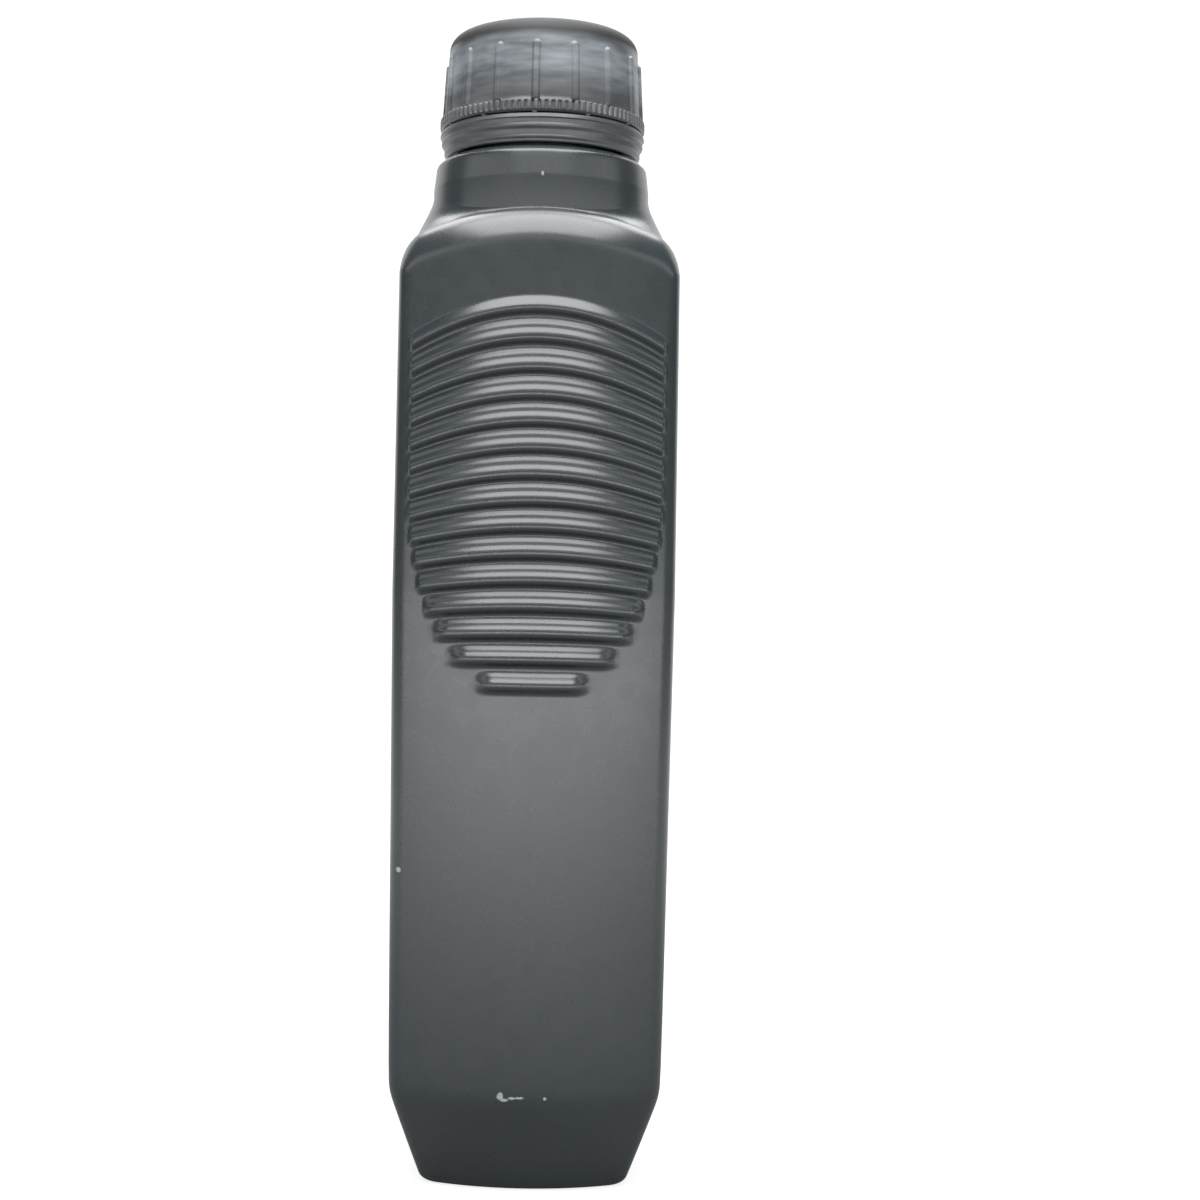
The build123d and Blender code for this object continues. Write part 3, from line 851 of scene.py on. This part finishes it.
# Floor and backdrop. A white sweep of painted board, which shows as plain white behind the bottle and
# keeps its shadow.
sweep_depth = 900.0
sweep_bend = 300.0
sweep_height = 1200.0
sweep_half_width = 1500.0
sweep_front_depth = 1500.0
seen_glow = 0.84
near_mirror_glow = 0.05
far_glow = 1.0
glow_near_radius = 90 * MM
glow_far_radius = 700 * MM
bend_angle = np.radians(np.linspace(0, 90, 24))
sweep_y = np.concatenate([
    [-sweep_front_depth], sweep_depth + sweep_bend * np.sin(bend_angle), [sweep_depth + sweep_bend]
])
sweep_z = np.concatenate([[0.0], sweep_bend * (1 - np.cos(bend_angle)), [sweep_height]])
sweep_points = np.stack([
    np.repeat([[-sweep_half_width, sweep_half_width]], len(sweep_y), 0).ravel(),
    np.repeat(sweep_y, 2), np.repeat(sweep_z, 2),
], -1) * MM
sweep_faces = [(2 * i, 2 * i + 1, 2 * i + 3, 2 * i + 2) for i in range(len(sweep_y) - 1)]
sweep_mesh = bpy.data.meshes.new("studio_sweep")
sweep_mesh.from_pydata(sweep_points.tolist(), [], sweep_faces)
sweep_mesh.polygons.foreach_set("use_smooth", np.ones(len(sweep_faces), bool))
studio_sweep = bpy.data.objects.new("studio_sweep", sweep_mesh)
bpy.context.scene.collection.objects.link(studio_sweep)


def white_board():
    """White painted board: matt, and seen as white however far it lies from the lamps. Its own glow,
    which only the camera and mirror-like rays see, is weaker beside the bottle, where the lamps reach, so
    that the shadow stays."""
    material = bpy.data.materials.new("white_painted_board")
    material.use_nodes = True
    shader = material.node_tree.nodes["Principled BSDF"]
    shader.inputs["Base Color"].default_value = linear("#808080")
    shader.inputs["Roughness"].default_value = 0.9
    shader.inputs["Specular IOR Level"].default_value = 0.0
    place = add_node(material, "ShaderNodeTexCoord")
    distance = add_node(material, "ShaderNodeVectorMath", {"operation": "LENGTH"},
                        links={"Vector": (place, "Object")})
    levels = [
        add_node(material, "ShaderNodeMapRange", {"interpolation_type": "SMOOTHSTEP"}, {
            "From Min": glow_near_radius, "From Max": glow_far_radius, "To Min": near, "To Max": far_glow,
        }, {"Value": (distance, "Value")})
        for near in (seen_glow, near_mirror_glow)
    ]
    ray = add_node(material, "ShaderNodeLightPath")
    mirror = add_node(material, "ShaderNodeMath", {"operation": "MAXIMUM"}, links={
        0: (ray, "Is Glossy Ray"), 1: (ray, "Is Transmission Ray")})
    seen = add_node(material, "ShaderNodeMath", {"operation": "MULTIPLY"}, links={
        0: (ray, "Is Camera Ray"), 1: (levels[0], "Result")})
    strength = add_node(material, "ShaderNodeMath", {"operation": "MULTIPLY_ADD"}, links={
        0: (mirror, "Value"), 1: (levels[1], "Result"), 2: (seen, "Value")})
    glow = add_node(material, "ShaderNodeEmission", inputs={"Color": (1, 1, 1, 1)},
                    links={"Strength": (strength, "Value")})
    both = add_node(material, "ShaderNodeAddShader", links={0: (shader, "BSDF"), 1: (glow, "Emission")})
    surface = material.node_tree.nodes["Material Output"].inputs["Surface"]
    material.node_tree.links.new(both.outputs["Shader"], surface)
    return material


sweep_mesh.materials.append(white_board())


# Light. A wide soft box overhead with a second one behind it, three narrow ones in a ring round the
# front, a long low one behind the camera, and a dim grey room. The wide one is what shines in the
# shoulder's edge and in the ribs.
def soft_box(name, place, aim, size, power):
    """A rectangular lamp at a place, turned to face the aim, with its long side level: places and sizes
    in metres, power in watts."""
    lamp = bpy.data.lights.new(name, "AREA")
    lamp.shape = "RECTANGLE"
    lamp.size, lamp.size_y = size
    lamp.energy = power
    holder = bpy.data.objects.new(name, lamp)
    holder.location = place
    holder.rotation_euler = (Vector(aim) - Vector(place)).to_track_quat("-Z", "Y").to_euler()
    holder.visible_camera = False
    bpy.context.scene.collection.objects.link(holder)


soft_box("overhead_soft_box", (0.0, -0.3, 0.95), (0.0, -0.1, 0.2), (0.95, 1.1), 17.5)
soft_box("back_soft_box", (0.0, 0.52, 0.95), (0.0, 0.0, 0.2), (0.95, 0.5), 6.0)
soft_box("front_soft_box", (0.0, -1.0, 0.60), (0.0, 0.0, 0.17), (1.2, 0.25), 1.1)
soft_box("left_soft_box", (-0.9, -0.5, 0.60), (0.0, 0.0, 0.17), (1.17, 0.25), 1.1)
soft_box("right_soft_box", (0.9, -0.5, 0.60), (0.0, 0.0, 0.17), (1.17, 0.25), 1.1)
soft_box("low_soft_box", (0.0, -1.1, 0.07), (0.0, 0.0, 0.10), (4.4, 0.1), 9.5)
room = bpy.data.worlds.new("room")
bpy.context.scene.world = room
room.use_nodes = True
room_light = room.node_tree.nodes["Background"]
room_light.inputs["Color"].default_value = linear("#ffffff")
room_ray = add_node(room, "ShaderNodeLightPath")
room_level = add_node(room, "ShaderNodeMapRange", {}, {"To Min": 0.25, "To Max": 1.0}, {
    "Value": (room_ray, "Is Camera Ray")})
room.node_tree.links.new(room_level.outputs["Result"], room_light.inputs["Strength"])


# Camera. At the middle of the bottle's height, in line with its narrow side, level but rolled by about a
# degree.
camera_distance = 0.451
camera_height = 0.121
camera_roll = math.radians(1.09)
focal_pixels = 1989.0
axis_pixel = 533.5
image_pixels = 1200.0
camera_data = bpy.data.cameras.new("camera")
camera_data.sensor_width = 36.0
camera_data.lens = focal_pixels / image_pixels * camera_data.sensor_width
camera_data.shift_x = (image_pixels / 2 - axis_pixel) / image_pixels
camera_data.clip_start = 0.01
camera = bpy.data.objects.new("camera", camera_data)
camera.matrix_world = (
    Matrix.Translation((0, -camera_distance, camera_height))
    @ Matrix.Rotation(math.pi / 2, 4, "X")
    @ Matrix.Rotation(camera_roll, 4, "Z")
)
bpy.context.scene.collection.objects.link(camera)
bpy.context.scene.camera = camera
bpy.context.scene.view_settings.view_transform = "Standard"
